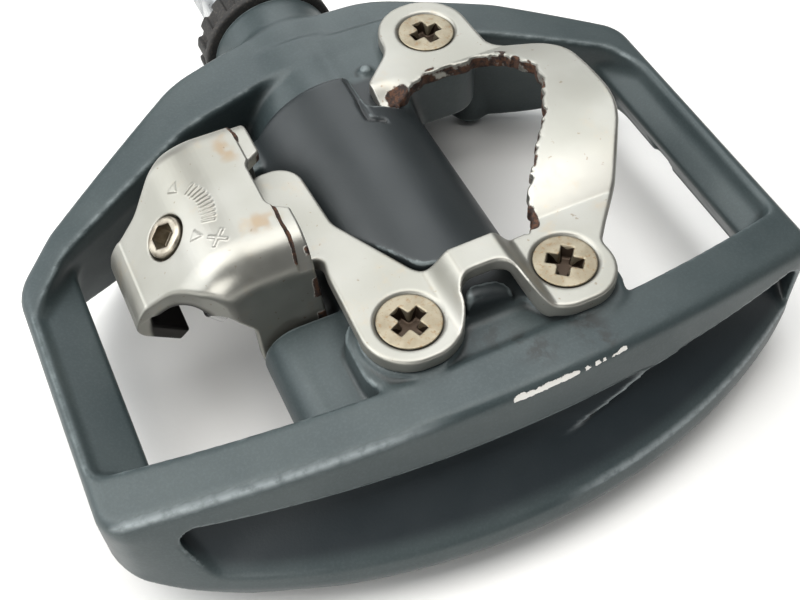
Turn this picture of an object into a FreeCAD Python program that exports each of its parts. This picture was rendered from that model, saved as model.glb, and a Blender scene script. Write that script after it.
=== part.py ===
import FreeCAD, Part
import math
import os

# Clipless touring pedal, right-hand, one face sprung for a two-bolt cleat and
# the other face flat.  +X points to the toe, +Y to the crank, +Z up through
# the sprung face.  Pieces are drawn with y = 0 under the middle of the cleat
# and moved at the end, so that the origin is the centre of the spindle's
# shoulder, where it bears on the crank.  All sizes are in millimetres.

V = FreeCAD.Vector

# ---------------------------------------------------------------- cage
CAGE_HALF_LENGTH = 48.6        # spindle axis to the front or rear edge
CAGE_TOP_MIDDLE = 9.6          # height of the side plates over the spindle
CAGE_TOP_END = 4.6             # height of the cage at its front and rear
CAGE_BOTTOM_MIDDLE = -12.6     # flat face below the spindle
CAGE_BOTTOM_END = -6.6         # flat face at the front and rear edges
FLAT_HALF_LENGTH = 33.0        # half of the level part of the flat face
RAIL_HALF_LENGTH = 47.8
CRANK_DRAFT = 4.0              # how far the crank-side plate's inner wall leans
CRANK_DRAFT_TOP = 4.0
SLOT_TOP = 3.0                 # long slot in the outer face
LIP_TOP = -5.4
LIP_CREST = -8.0
BARREL_RADIUS = 12.8
BARREL_OUTER_END = -24.0
BARREL_INNER_END = 19.6
NECK_RADIUS = 10.2             # barrel where it meets the crank-side plate
BOSS_RADIUS = 9.6              # round boss that the lock bolt seats on
BOSS_FACE_Y = 43.2
AXLE_BORE_RADIUS = 8.2
AXLE_BORE_END_Y = -14.0

# ------------------------------------------------------- binding plate
PAD_TOP = 12.0
PLATE_THICKNESS = 2.2
PAD_SEAT = PAD_TOP - PLATE_THICKNESS
ARCH_RISE = 3.2                # front claw above the pads
ARCH_HALF_SPAN = 15.5
BRIDGE_RISE = 3.3              # bridge over the barrel above the pads
SCREWS = [(17.4, 23.3), (13.9, -22.8), (-7.2, -22.8)]
SCREW_HEAD_RADIUS = 4.2
SCREW_SHANK_RADIUS = 2.5
SCREW_LENGTH = 10.0
SCREW_HEAD_DEPTH = 2.0

# ------------------------------------------------------------ rear jaw
PIVOT_X = -18.2
PIVOT_Z = 0.5
PIVOT_PIN_RADIUS = 2.0
JAW_CENTRE_Y = 0.8
JAW_HALF_WIDTH = 13.2
JAW_SHEET = 2.2
JAW_TOP = 17.2
JAW_FRONT = -14.4              # tips of the fingers
JAW_BACK = -36.4
JAW_BACK_HALF_WIDTH = 5.9
JAW_BEND = 3.6                 # radius of the jaw's side bends
JAW_GAP = 0.5                  # side play between the jaw and its ears
ADJUSTER_X = -29.7
ADJUSTER_Z = 14.0
ADJUSTER_TILT = 38.0           # bolt axis from vertical, towards the heel
BOLT_RADIUS = 2.0
BOLT_LENGTH = 11.5
RUNNING = 0.05                 # radial clearance of a running fit
SPRING_WIRE_RADIUS = 0.8
SPRING_COIL_RADIUS = 3.3
SPRING_PITCH = 1.72
SPRING_TURNS = 3 + 50 / 360
SPRING_START = 2.9             # middle of the jaw to the first coil
SPRING_LEG_ANGLE = 70          # where the upper leg leaves the coil
SPRING_UPPER_LEG = 8.0
SPRING_LOWER_LEG = 5.0

# ------------------------------------------------------------- spindle
SHOULDER_Y = 54.0              # crank shoulder from the cleat's middle
THREAD_RADIUS = 7.14           # 9/16 inch
THREAD_LENGTH = 12.0
FLATS_WIDTH = 15.0             # pedal wrench
COLLAR_RADIUS = 8.8
COLLAR_START_Y = 48.6
JOURNAL_RADIUS = 6.0
BALL_RADIUS = 1.19             # 3/32 inch balls
BALL_COUNT = 12
BALL_PITCH_RADIUS = 5.2
INNER_BALLS_Y = 22.0
OUTER_BALLS_Y = -4.2
SPINDLE_END_Y = -12.4

PIN_RADIUS = 1.6               # grub-screw grip pins on the flat face
PIN_LENGTH = 6.0
PIN_STAND = 1.1
PIN_BOSS_RADIUS = 2.8
CRANK_PINS = [(44.6, 17.6), (-45.9, 6.6), (28.0, 28.6), (-28.2, 23.4)]


# ------------------------------------------------------------- helpers
def rounded_wire(corners, z):
    """Closed wire through (x, y, radius) corners at height z."""
    edges = []
    starts = []
    ends = []
    mids = []
    count = len(corners)
    for i, (x, y, radius) in enumerate(corners):
        here = V(x, y, z)
        before = V(corners[i - 1][0], corners[i - 1][1], z)
        after = V(corners[(i + 1) % count][0], corners[(i + 1) % count][1], z)
        to_before = (before - here).normalize()
        to_after = (after - here).normalize()
        half = to_before.getAngle(to_after) / 2
        if radius <= 0 or half > math.radians(89.9):
            starts.append(here)
            mids.append(None)
            ends.append(here)
            continue
        reach = radius / math.tan(half)
        bisector = (to_before + to_after).normalize()
        centre = here + bisector * (radius / math.sin(half))
        starts.append(here + to_before * reach)
        mids.append(centre - bisector * radius)
        ends.append(here + to_after * reach)
    for i in range(count):
        if mids[i] is not None:
            edges.append(Part.Arc(starts[i], mids[i], ends[i]).toShape())
        following = starts[(i + 1) % count]
        if (following - ends[i]).Length > 1e-6:
            edges.append(Part.makeLine(ends[i], following))
    return Part.Wire(edges)


def prism(corners, bottom, top):
    """Upright solid with a rounded outline between two heights."""
    face = Part.Face(rounded_wire(corners, bottom))
    return face.extrude(V(0, 0, top - bottom))


def side_prism(corners, y_from, y_to):
    """Solid whose outline of (x, z, radius) corners is drawn across Y."""
    solid = prism([(x, z, radius) for x, z, radius in corners], 0, y_to - y_from)
    solid.rotate(V(0, 0, 0), V(1, 0, 0), 90)
    solid.translate(V(0, y_to, 0))
    return solid


def along_y(radius, y_from, y_to, x=0, z=0):
    """Cylinder along Y."""
    return Part.makeCylinder(radius, y_to - y_from, V(x, y_from, z), V(0, 1, 0))


def upright(radius, bottom, top, x, y):
    """Cylinder along Z."""
    return Part.makeCylinder(radius, top - bottom, V(x, y, bottom))


def box(low, high):
    """Box between two corners."""
    return Part.makeBox(high[0] - low[0], high[1] - low[1], high[2] - low[2], V(*low))


def fuse(shapes):
    """Union of several solids with the leftover seams removed."""
    return shapes[0].multiFuse(shapes[1:]).removeSplitter()


def hex_prism(across_flats, bottom, top):
    """Upright hexagonal prism at the origin."""
    reach = across_flats / math.sqrt(3)
    points = [(reach * math.cos(math.radians(60 * i)), reach * math.sin(math.radians(60 * i)), 0)
              for i in range(6)]
    return prism(points, bottom, top)


def bowed_wire(half_length, outer, inner, z):
    """Closed wire between two shallow arcs, each (y at its ends, y in the
    middle), joined by straight ends."""
    edges = []
    corners = []
    for way, (end_y, middle_y) in ((1, outer), (-1, inner)):
        front = V(half_length * way, end_y, z)
        rear = V(-half_length * way, end_y, z)
        edges.append(Part.Arc(front, V(0, middle_y, z), rear).toShape())
        corners += [front, rear]
    edges.insert(1, Part.makeLine(corners[1], corners[2]))
    edges.append(Part.makeLine(corners[3], corners[0]))
    return Part.Wire(edges)


# ---------------------------------------------------------- pedal body
def lens():
    """Side view of the cage: thick over the spindle, thin at its ends."""
    reach = CAGE_HALF_LENGTH + 1
    top = Part.Arc(V(reach, 0, CAGE_TOP_END), V(0, 0, CAGE_TOP_MIDDLE), V(-reach, 0, CAGE_TOP_END))
    corners = [V(-reach, 0, CAGE_TOP_END), V(-reach, 0, CAGE_BOTTOM_END),
               V(-FLAT_HALF_LENGTH, 0, CAGE_BOTTOM_MIDDLE), V(FLAT_HALF_LENGTH, 0, CAGE_BOTTOM_MIDDLE),
               V(reach, 0, CAGE_BOTTOM_END), V(reach, 0, CAGE_TOP_END)]
    edges = [top.toShape()] + [Part.makeLine(a, b) for a, b in zip(corners, corners[1:])]
    solid = Part.Face(Part.Wire(edges)).extrude(V(0, 100, 0))
    solid.translate(V(0, -50, 0))
    return solid


CRANK_EDGE = [(CAGE_HALF_LENGTH, 19.2, 5), (32, 29.9, 14), (14, 37.5, 18), (-4, 37.2, 28),
              (-19, 32.9, 16), (-42.4, 15.2, 9), (-CAGE_HALF_LENGTH, 8.4, 7)]


CRANK_WINDOW = [(-48, -2, 0), (-47.5, 3, 1), (-41.4, 10.4, 7), (-20, 22.8, 14), (-6, 26.6, 10),
                (18, 27.8, 6), (43.8, 14.8, 5), (46.6, 9, 3), (46.6, -2, 0)]


def crank_side_plate():
    """Side plate next to the crank; its inner wall leans away from the window
    towards the flat face."""
    plate = prism(CRANK_EDGE + [(-CAGE_HALF_LENGTH, 3, 0), (CAGE_HALF_LENGTH, 3, 0)], -20, 20)
    plate = plate.cut(prism(CRANK_WINDOW, -21, 21))
    upper = rounded_wire(CRANK_WINDOW, CRANK_DRAFT_TOP)
    lower = upper.makeOffset2D(CRANK_DRAFT)
    lower.translate(V(0, 0, CAGE_BOTTOM_MIDDLE - CRANK_DRAFT_TOP))
    return plate.cut(Part.makeLoft([upper, lower], True, True))


def rail(bottom, top, low_edge, high_edge):
    """Layer of the outer side plate, its outer edge drawn at two heights."""
    window_edge = (-22.2, -29.2)
    low = bowed_wire(RAIL_HALF_LENGTH, low_edge, window_edge, bottom)
    high = bowed_wire(RAIL_HALF_LENGTH, high_edge, window_edge, top)
    return Part.makeLoft([low, high], True, True)


def outer_side_plate():
    """Side plate away from the crank, hollowed by a long slot in its face."""
    band = (-30.4, -37.2)
    lip = (-29.8, -44.0)
    crest = (-30.0, -44.8)
    plate = rail(SLOT_TOP, 10.4, band, (-28.4, -36.0))
    plate = plate.fuse(rail(LIP_TOP, SLOT_TOP, lip, band))
    plate = plate.fuse(rail(LIP_CREST, LIP_TOP, crest, lip))
    plate = plate.fuse(rail(-13.4, LIP_CREST, (-28.4, -42.4), crest))
    slot = side_prism([(-40.6, LIP_TOP, 2.6), (-40.6, SLOT_TOP, 2.6), (45.4, SLOT_TOP, 2.6),
                       (45.4, LIP_TOP, 2.6)], -60, 0)
    web = Part.Face(bowed_wire(60, (-24.6, -31.6), (0, 0.1), -20)).extrude(V(0, 0, 40))
    return plate.cut(slot.cut(web))


def flat_face_pockets():
    """Lightening pockets in the outer plate's flat face, parted by ribs."""
    pockets = []
    outline = bowed_wire(36, (-33.6, -41.6), (-25.6, -31.0), -20)
    hollow = Part.Face(outline).extrude(V(0, 0, 12.2))
    for low, high in ((-33, -14.6), (-8.4, 8.4), (14.6, 33)):
        pockets.append(hollow.common(box((low, -60, -30), (high, 0, 0))))
    return pockets


def cross_bar(side, ramp_foot, ramp_foot_z, heel):
    """Front or rear bar, its upper face ramped down into the window."""
    edge = CAGE_HALF_LENGTH
    section = [(edge, 3.8, 0.6), (edge - 0.9, CAGE_TOP_END, 0.6), (ramp_foot, ramp_foot_z, 1.0),
               (heel, -3.4, 0.8), (heel + 1.8, CAGE_BOTTOM_END, 0.5), (edge, CAGE_BOTTOM_END, 1.5)]
    bar = side_prism([(side * x, z, radius) for x, z, radius in section], -28, 19.6)
    bar = bar.common(prism(CRANK_EDGE + [(-edge, -29.6, 4), (edge, -29.6, 4)], -20, 20))
    notch = box((edge - 9, -1.4, -9), (edge - 1.2, 3.2, -3.2))
    if side < 0:
        notch = notch.mirror(V(0, 0, 0), V(1, 0, 0))
    return bar.cut(notch)


def screw_bosses():
    """Seats under the binding plate's three pads."""
    crank_boss = prism([(2.6, 27, 0), (2.6, 12.4, 1), (9.4, 12.4, 2.5), (11.5, 16.4, 2),
                        (23.6, 16.4, 5), (24.6, 31, 6), (2.6, 31, 0)], 0.6, PAD_SEAT)
    between = prism([(-14.6, -17.2, 4), (20.6, -17.2, 5), (20.6, -30.2, 5), (-14.6, -30.2, 5)],
                    0.6, PAD_SEAT - 0.8)
    outer_pads = [upright(6.4, 0.6, PAD_SEAT, x, y) for x, y in SCREWS[1:]]
    return [crank_boss, between] + outer_pads


def pivot_ears():
    """Ears that hold the jaw's pivot pin, one on each side of the jaw."""
    ears = []
    for y_from, y_to in ((-29, JAW_CENTRE_Y - JAW_HALF_WIDTH - JAW_GAP),
                         (JAW_CENTRE_Y + JAW_HALF_WIDTH + JAW_GAP, 20)):
        ears.append(along_y(4.8, y_from, y_to, PIVOT_X, PIVOT_Z))
        ears.append(box((PIVOT_X, y_from, PIVOT_Z - 4.8), (-6, y_to, PIVOT_Z + 4.8)))
    return ears


def pin_places():
    """Centres of the eight grip pins on the flat face."""
    places = []
    for side in (-1, 1):
        places += [(side * 45.4, -25.0), (side * 11.5, -38.0)]
    return places + CRANK_PINS


def pin_bosses():
    """Thickened places for the grip pins of the crank-side plate."""
    return [upright(PIN_BOSS_RADIUS, -20, -4, x, y) for x, y in CRANK_PINS]


def flat_face_height(x):
    """Height of the cage's flat face at a distance from the spindle."""
    slope = (CAGE_BOTTOM_END - CAGE_BOTTOM_MIDDLE) / (CAGE_HALF_LENGTH + 1 - FLAT_HALF_LENGTH)
    return CAGE_BOTTOM_MIDDLE + max(0, abs(x) - FLAT_HALF_LENGTH) * slope


def pedal_body():
    """Cast aluminium cage with its barrel, bosses and ears."""
    plates = fuse([crank_side_plate(), outer_side_plate()] + pin_bosses()).common(lens())
    barrel = along_y(BARREL_RADIUS, BARREL_OUTER_END, BARREL_INNER_END)
    barrel = barrel.makeFillet(1.2, barrel.Edges)
    neck = along_y(NECK_RADIUS, 15, 31)
    boss = along_y(BOSS_RADIUS, 30, BOSS_FACE_Y)
    bars = [cross_bar(1, 42.8, 0.6, 45.0), cross_bar(-1, 40.6, 1.0, 42.0)]
    solid = fuse([plates, barrel, neck, boss] + bars + screw_bosses() + pivot_ears())
    cuts = [along_y(AXLE_BORE_RADIUS, AXLE_BORE_END_Y, BOSS_FACE_Y + 1),
            along_y(PIVOT_PIN_RADIUS, -22, 30, PIVOT_X, PIVOT_Z)] + flat_face_pockets()
    for x, y in SCREWS:
        cuts.append(upright(SCREW_SHANK_RADIUS, PAD_TOP - SCREW_LENGTH - 0.6, PAD_TOP, x, y))
    for x, y in pin_places():
        seat = flat_face_height(x)
        cuts.append(upright(PIN_RADIUS, seat - 5, seat + PIN_LENGTH - PIN_STAND, x, y))
    plate_face = Part.Face(rounded_wire(plate_outline(), PAD_SEAT))
    cuts.append(plate_face.makeOffset2D(0.5).extrude(V(0, 0, 20)))
    cuts.append(box((3.2, 12.4, PAD_SEAT), (14, 20, 20)))
    for cutter in cuts:
        solid = solid.cut(cutter)
    return solid


def grip_pins():
    """Eight grub screws that stand out of the flat face."""
    pins = []
    for x, y in pin_places():
        low = flat_face_height(x) - PIN_STAND
        pin = upright(PIN_RADIUS, low, low + PIN_LENGTH, x, y)
        socket = hex_prism(1.5, low - 1, low + 2)
        socket.translate(V(x, y, 0))
        pins.append(pin.cut(socket))
    return Part.makeCompound(pins)


# ------------------------------------------------------- binding plate
def folded_sheet():
    """Bent sheet that the binding plate is cut from: flat pads, an arch over
    the claw's mouth and a bridge over the barrel."""
    low = PAD_TOP - PLATE_THICKNESS
    pads = [box((-30, 15, low), (24.6, 40, PAD_TOP)), box((8.6, -40, low), (40, -15, PAD_TOP)),
            box((-30, -40, low), (-1.6, 15, PAD_TOP))]
    foot = ARCH_HALF_SPAN
    arch_top = [V(0, -foot, PAD_TOP), V(0, 0, PAD_TOP + ARCH_RISE), V(0, foot, PAD_TOP)]
    drop = V(0, 0, -PLATE_THICKNESS)
    arch_edges = [Part.Arc(*arch_top).toShape(), Part.makeLine(arch_top[2], arch_top[2] + drop),
                  Part.Arc(*[p + drop for p in reversed(arch_top)]).toShape(),
                  Part.makeLine(arch_top[0] + drop, arch_top[0])]
    arch = Part.Face(Part.Wire(arch_edges)).extrude(V(32, 0, 0))
    arch.translate(V(12.7, 0, 0))
    landing = box((24.4, 15.4, low), (40, 40, PAD_TOP))
    top = PAD_TOP + BRIDGE_RISE
    bridge = side_prism([(-2.8, PAD_TOP, 1.2), (0.2, top, 2.4), (6.6, top, 2.4), (9.6, PAD_TOP, 1.2),
                         (11, PAD_TOP, 0), (11, low, 0), (8.6, low, 2.4), (5.8, top - PLATE_THICKNESS, 0.8),
                         (1.0, top - PLATE_THICKNESS, 0.8), (-1.8, low, 2.4), (-5, low, 0),
                         (-5, PAD_TOP, 0)], -30, -10)
    keep = box((-2.8, -40, 0), (9.6, -10, 30))
    flat = fuse(pads + [landing]).cut(keep)
    return fuse([flat, arch, bridge])


def plate_outline():
    """Plan view of the binding plate as two overlapping lobes."""
    return [(10.4, 22, 5), (11, 30.2, 6.5), (23.6, 30.2, 6.5), (24.2, 17.0, 3), (27.6, 14.6, 3),
            (32.6, 11.4, 8), (32.8, -4, 12), (26.0, -14.6, 6), (22.6, -18.4, 4), (19.6, -22, 2),
            (20.4, -29.4, 5.4), (7.6, -29.4, 5.6), (6.5, -21.3, 2.6), (-0.4, -21.3, 2.6), (-0.9, -28.8, 6),
            (-13.6, -28.8, 6), (-13.2, -12, 3), (-12.9, -9.4, 1), (-17.2, -9.0, 1.5), (-17.2, 7.2, 3),
            (-10.0, 7.2, 3.5), (-9.4, -4.8, 4), (-2.6, -17.4, 4), (6.4, -17.2, 3), (13.4, -16.6, 1),
            (14.6, -11.6, 4), (22.2, -2.2, 8), (26.6, 6.4, 6), (24.2, 14.4, 4), (13.0, 15.4, 4),
            (8.6, 12.6, 1), (5.6, 12.8, 1), (5.4, 17.0, 1)]


def countersink(x, y):
    """Cone and shank hole for one binding screw."""
    low = PAD_TOP - PLATE_THICKNESS - 1
    cone = Part.makeCone(SCREW_SHANK_RADIUS, SCREW_HEAD_RADIUS, SCREW_HEAD_DEPTH,
                         V(x, y, PAD_TOP - SCREW_HEAD_DEPTH))
    return cone.fuse(upright(SCREW_SHANK_RADIUS, low, PAD_TOP, x, y))


def binding_plate():
    """Front claw, three screw pads, bridge and rear cleat rest in one plate."""
    plate = folded_sheet().common(prism(plate_outline(), 5, 20))
    for x, y in SCREWS:
        plate = plate.cut(countersink(x, y))
    return plate


def binding_screws():
    """Three countersunk screws with cross recesses."""
    screws = []
    for x, y in SCREWS:
        head = Part.makeCone(SCREW_SHANK_RADIUS, SCREW_HEAD_RADIUS, SCREW_HEAD_DEPTH,
                             V(x, y, PAD_TOP - SCREW_HEAD_DEPTH))
        shank = upright(SCREW_SHANK_RADIUS, PAD_TOP - SCREW_LENGTH, PAD_TOP - SCREW_HEAD_DEPTH, x, y)
        screw = head.fuse(shank)
        for turn in (20, 110):
            slot = box((-2.1, -0.5, PAD_TOP - 1.5), (2.1, 0.5, PAD_TOP + 1))
            slot.rotate(V(0, 0, 0), V(0, 0, 1), turn)
            slot.translate(V(x, y, 0))
            screw = screw.cut(slot)
        screws.append(screw)
    return Part.makeCompound(screws)


# ------------------------------------------------------------ rear jaw
def adjuster_frame(shape):
    """Put a shape drawn along +Z at the origin onto the adjuster's axis."""
    shape.rotate(V(0, 0, 0), V(0, 1, 0), -ADJUSTER_TILT)
    shape.translate(V(ADJUSTER_X, JAW_CENTRE_Y, ADJUSTER_Z))
    return shape


def jaw_hood(inset):
    """Outer form of the jaw's folded sheet, or its hollow when inset."""
    top = JAW_TOP - inset
    back = JAW_BACK + inset
    width = JAW_HALF_WIDTH - inset
    section = [(-8, top, 0), (-25.2, top, 11 - inset), (back, 7.4, 7 - inset), (back, -8, 0), (-8, -8, 0)]
    hood = side_prism(section, JAW_CENTRE_Y - width, JAW_CENTRE_Y + width)
    bends = [edge for edge in hood.Edges
             if edge.BoundBox.YLength < 0.01 and edge.BoundBox.ZMax > 0 and edge.BoundBox.XLength > 0.01]
    return hood.makeFillet(JAW_BEND - inset, bends)


def jaw_plan():
    """Plan view of the jaw: full width at its arms, narrowed at its back."""
    side = [(-8, JAW_HALF_WIDTH, 0), (-24.4, JAW_HALF_WIDTH, 2), (-28.4, 10.2, 3), (-31.6, 7.0, 4),
            (-34.5, JAW_BACK_HALF_WIDTH, 4), (-40, JAW_BACK_HALF_WIDTH, 0)]
    inner = [(x, JAW_CENTRE_Y + y, radius) for x, y, radius in side]
    outer = [(x, JAW_CENTRE_Y - y, radius) for x, y, radius in reversed(side)]
    return prism(inner + outer, -10, 30)


def jaw_side_view():
    """Side view of the jaw: hood, arms and the opening behind the arms."""
    return side_prism([(JAW_FRONT, 20, 0), (JAW_FRONT, 12.4, 0), (-13.6, 3, 2), (-14, -4.2, 4.4),
                       (-22.6, -4.2, 4.4), (-23.0, 6, 3), (-26, 9.6, 0), (JAW_BACK - 2, 5.6, 0),
                       (JAW_BACK - 2, 20, 0)], -20, 20)


def jaw_curl():
    """Lower edge of the jaw's back, curled forwards under the heel."""
    return side_prism([(JAW_BACK, 7, 0), (JAW_BACK, 4.2, 2.6), (-31.4, 0.5, 0), (-29.8, 1.9, 0),
                       (-34.2, 5.35, 0.6), (-34.2, 7, 0)],
                      JAW_CENTRE_Y - JAW_BACK_HALF_WIDTH, JAW_CENTRE_Y + JAW_BACK_HALF_WIDTH)


def rear_jaw():
    """Sprung rear jaw: two fingers over the cleat and a curl under its heel."""
    shell = jaw_hood(0).cut(jaw_hood(JAW_SHEET))
    notch = prism([(-10, 6.4, 0), (-14.6, 6.4, 1), (-16.8, 5.0, 1.5), (-16.8, -2.6, 1.5), (-14.6, -4.0, 1),
                   (-10, -4.0, 0)], 10, 20)
    jaw = fuse([shell.common(jaw_side_view()).common(jaw_plan()), jaw_curl()]).cut(notch)
    jaw = jaw.cut(along_y(PIVOT_PIN_RADIUS + RUNNING, -30, 30, PIVOT_X, PIVOT_Z))
    return jaw.cut(adjuster_frame(upright(3.0, -4, 6, 0, 0)))


def jaw_pivot_pin():
    """Pin that the jaw and both springs turn on, pressed into the ears."""
    return along_y(PIVOT_PIN_RADIUS, -21.8, 19.8, PIVOT_X, PIVOT_Z)


def adjuster_bolt():
    """Spring-tension bolt with a 3 mm hexagon socket and a captive flange."""
    bolt = fuse([upright(2.8, -2.2, 0.6, 0, 0), upright(3.8, -3.6, -2.6, 0, 0),
                 upright(BOLT_RADIUS, -BOLT_LENGTH, -2.2, 0, 0)])
    bolt = bolt.fuse(upright(2.8, -3.6, -2.2, 0, 0)).removeSplitter()
    return adjuster_frame(bolt.cut(hex_prism(3.0, -1.8, 2)))


def tension_plate():
    """Nut plate that climbs the adjuster bolt and loads the springs."""
    plate = prism([(-2.9, -9.6, 1), (-2.9, 9.6, 1), (2.9, 9.6, 1), (2.9, -9.6, 1)], -8.6, -6.2)
    plate = plate.cut(upright(BOLT_RADIUS + RUNNING, -10, 0, 0, 0))
    return adjuster_frame(plate)


def jaw_spring():
    """Torsion spring round the pivot pin: its upper leg bears on the tension
    plate and its lower leg on the barrel."""
    coil = Part.makeHelix(SPRING_PITCH, SPRING_PITCH * SPRING_TURNS, SPRING_COIL_RADIUS).Edges[0]
    start = coil.valueAt(coil.FirstParameter)
    finish = coil.valueAt(coil.LastParameter)
    start_way = coil.tangentAt(coil.FirstParameter)
    tip = start - start_way * SPRING_UPPER_LEG
    foot = finish + coil.tangentAt(coil.LastParameter) * SPRING_LOWER_LEG
    path = Part.Wire([Part.makeLine(tip, start), coil, Part.makeLine(finish, foot)])
    section = Part.Wire(Part.makeCircle(SPRING_WIRE_RADIUS, tip, start_way))
    spring = path.makePipeShell([section], True, True)
    spring.rotate(V(0, 0, 0), V(1, 0, 0), -90)
    spring.rotate(V(0, 0, 0), V(0, 1, 0), -SPRING_LEG_ANGLE)
    spring.translate(V(PIVOT_X, JAW_CENTRE_Y + SPRING_START + SPRING_WIRE_RADIUS, PIVOT_Z))
    return spring


def mirrored_spring():
    """The other spring, its mirror image across the middle of the jaw."""
    return jaw_spring().mirror(V(0, JAW_CENTRE_Y, 0), V(0, 1, 0))


# --------------------------------------------------- spindle and bearing
def ring(outer, inner, y_from, y_to):
    """Tube along Y."""
    return along_y(outer, y_from, y_to).cut(along_y(inner, y_from - 1, y_to + 1))


def spindle():
    """Steel spindle with crank thread, wrench flats and hexagon socket."""
    end = SHOULDER_Y + THREAD_LENGTH
    collar = along_y(COLLAR_RADIUS, COLLAR_START_Y, SHOULDER_Y)
    half = FLATS_WIDTH / 2
    collar = collar.common(box((-half, 40, -20), (half, 60, 20)))
    shaft = Part.makeCone(JOURNAL_RADIUS, 4.0, 5.0, V(0, 31.2, 0), V(0, -1, 0))
    pieces = [along_y(THREAD_RADIUS, SHOULDER_Y, end - 1),
              Part.makeCone(THREAD_RADIUS, THREAD_RADIUS - 1, 1, V(0, end - 1, 0), V(0, 1, 0)),
              collar, along_y(JOURNAL_RADIUS, 31.2, COLLAR_START_Y), shaft,
              along_y(4.0, -2.6, 26.2), along_y(3.5, SPINDLE_END_Y, -2.6)]
    socket = hex_prism(6.0, 0, 9)
    socket.rotate(V(0, 0, 0), V(1, 0, 0), 90)
    socket.translate(V(0, end + 0.5, 0))
    return fuse(pieces).cut(socket)


def lock_bolt():
    """Splined resin bolt that holds the bearing unit in the body."""
    flange_end = COLLAR_START_Y - 0.4
    body = fuse([along_y(AXLE_BORE_RADIUS - 0.05, 31, BOSS_FACE_Y), along_y(10.8, BOSS_FACE_Y, flange_end)])
    body = body.cut(along_y(6.9, 30, 44.2)).cut(along_y(7.9, 44.2, 50))
    count = 18
    for i in range(count):
        angle = 360 * i / count
        groove = box((10.0, BOSS_FACE_Y + 1.2, -0.9), (12, 50, 0.9))
        groove.rotate(V(0, 0, 0), V(0, 1, 0), angle)
        body = body.cut(groove)
    return body


def axle_seal():
    """Rubber seal between the spindle and the lock bolt."""
    return ring(7.9, JOURNAL_RADIUS + RUNNING, 44.3, 47.4)


def inner_bush():
    """Plain bush that carries the spindle inside the lock bolt."""
    return ring(6.9, JOURNAL_RADIUS + RUNNING, 31.2, 43.8)


def bearing_sleeve():
    """Hardened sleeve with a ball race at each end."""
    race = BALL_PITCH_RADIUS + BALL_RADIUS + 0.03
    sleeve = ring(AXLE_BORE_RADIUS - 0.05, race, -11, 30.8)
    land = ring(AXLE_BORE_RADIUS - 0.05, 6.3, OUTER_BALLS_Y + BALL_RADIUS + 0.1,
                INNER_BALLS_Y - BALL_RADIUS - 0.1)
    return sleeve.fuse(land).removeSplitter()


def ball_row(y):
    """One row of loose steel balls."""
    balls = []
    for i in range(BALL_COUNT):
        angle = 2 * math.pi * i / BALL_COUNT
        centre = V(BALL_PITCH_RADIUS * math.cos(angle), y, BALL_PITCH_RADIUS * math.sin(angle))
        balls.append(Part.makeSphere(BALL_RADIUS, centre))
    return Part.makeCompound(balls)


def bearing_cone(y_centre, direction):
    """Cone that holds one ball row from its far side."""
    near = y_centre + direction * (BALL_RADIUS + 0.02)
    far = near + direction * 2.4
    return ring(5.7, 3.52 if direction < 0 else 4.02, min(near, far), max(near, far))


def lock_nut():
    """Hexagon nut that locks the outer cone on the spindle."""
    nut = hex_prism(9.0, 0, 2.8)
    nut.rotate(V(0, 0, 0), V(1, 0, 0), 90)
    far_face = OUTER_BALLS_Y - BALL_RADIUS - 0.02 - 2.4 - 0.02
    nut.translate(V(0, far_face, 0))
    return nut.cut(along_y(3.52, -20, 0))


# --------------------------------------------------------------- output
def all_pieces():
    """Every node of the pedal by name."""
    return {
        "pedal_body": pedal_body(),
        "grip_pins": grip_pins(),
        "binding_plate": binding_plate(),
        "binding_screws": binding_screws(),
        "rear_jaw": rear_jaw(),
        "jaw_pivot_pin": jaw_pivot_pin(),
        "jaw_spring_inner": jaw_spring(),
        "jaw_spring_outer": mirrored_spring(),
        "adjuster_bolt": adjuster_bolt(),
        "tension_plate": tension_plate(),
        "spindle": spindle(),
        "lock_bolt": lock_bolt(),
        "axle_seal": axle_seal(),
        "inner_bush": inner_bush(),
        "bearing_sleeve": bearing_sleeve(),
        "inner_balls": ball_row(INNER_BALLS_Y),
        "outer_balls": ball_row(OUTER_BALLS_Y),
        "inner_cone": bearing_cone(INNER_BALLS_Y, 1),
        "outer_cone": bearing_cone(OUTER_BALLS_Y, -1),
        "lock_nut": lock_nut(),
    }


os.makedirs("parts", exist_ok=True)
for node, shape in all_pieces().items():
    shape.translate(V(0, -SHOULDER_Y, 0))
    shape.exportStep(f"parts/{node}.step")
    print(node, "valid" if shape.isValid() else "INVALID", len(shape.Solids), round(shape.Volume, 1))
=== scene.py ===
import bpy
import math
import numpy as np
from mathutils import Matrix, Vector


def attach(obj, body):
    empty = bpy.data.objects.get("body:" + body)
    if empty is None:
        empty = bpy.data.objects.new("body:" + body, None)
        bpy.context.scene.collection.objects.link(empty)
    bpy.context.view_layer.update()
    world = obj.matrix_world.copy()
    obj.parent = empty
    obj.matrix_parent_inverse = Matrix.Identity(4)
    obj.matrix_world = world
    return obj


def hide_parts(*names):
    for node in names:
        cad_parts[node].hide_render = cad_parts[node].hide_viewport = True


# Clipless pedal.  Shapes are drawn in millimetres with y = 0 under the middle
# of the cleat, then moved into the row frame, whose origin is the shoulder of
# the spindle 54 mm further towards the crank.

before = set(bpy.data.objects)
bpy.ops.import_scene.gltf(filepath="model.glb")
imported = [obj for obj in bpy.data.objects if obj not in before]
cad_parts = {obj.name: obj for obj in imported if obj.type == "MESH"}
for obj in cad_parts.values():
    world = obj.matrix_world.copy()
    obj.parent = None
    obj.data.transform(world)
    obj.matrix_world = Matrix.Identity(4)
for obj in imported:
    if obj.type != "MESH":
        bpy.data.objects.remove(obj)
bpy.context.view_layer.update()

SHOULDER_Y = 54.0


def place(x, y, z):
    """Drawing millimetres to row-frame metres."""
    return Vector((x / 1000, (y - SHOULDER_Y) / 1000, z / 1000))


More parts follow.
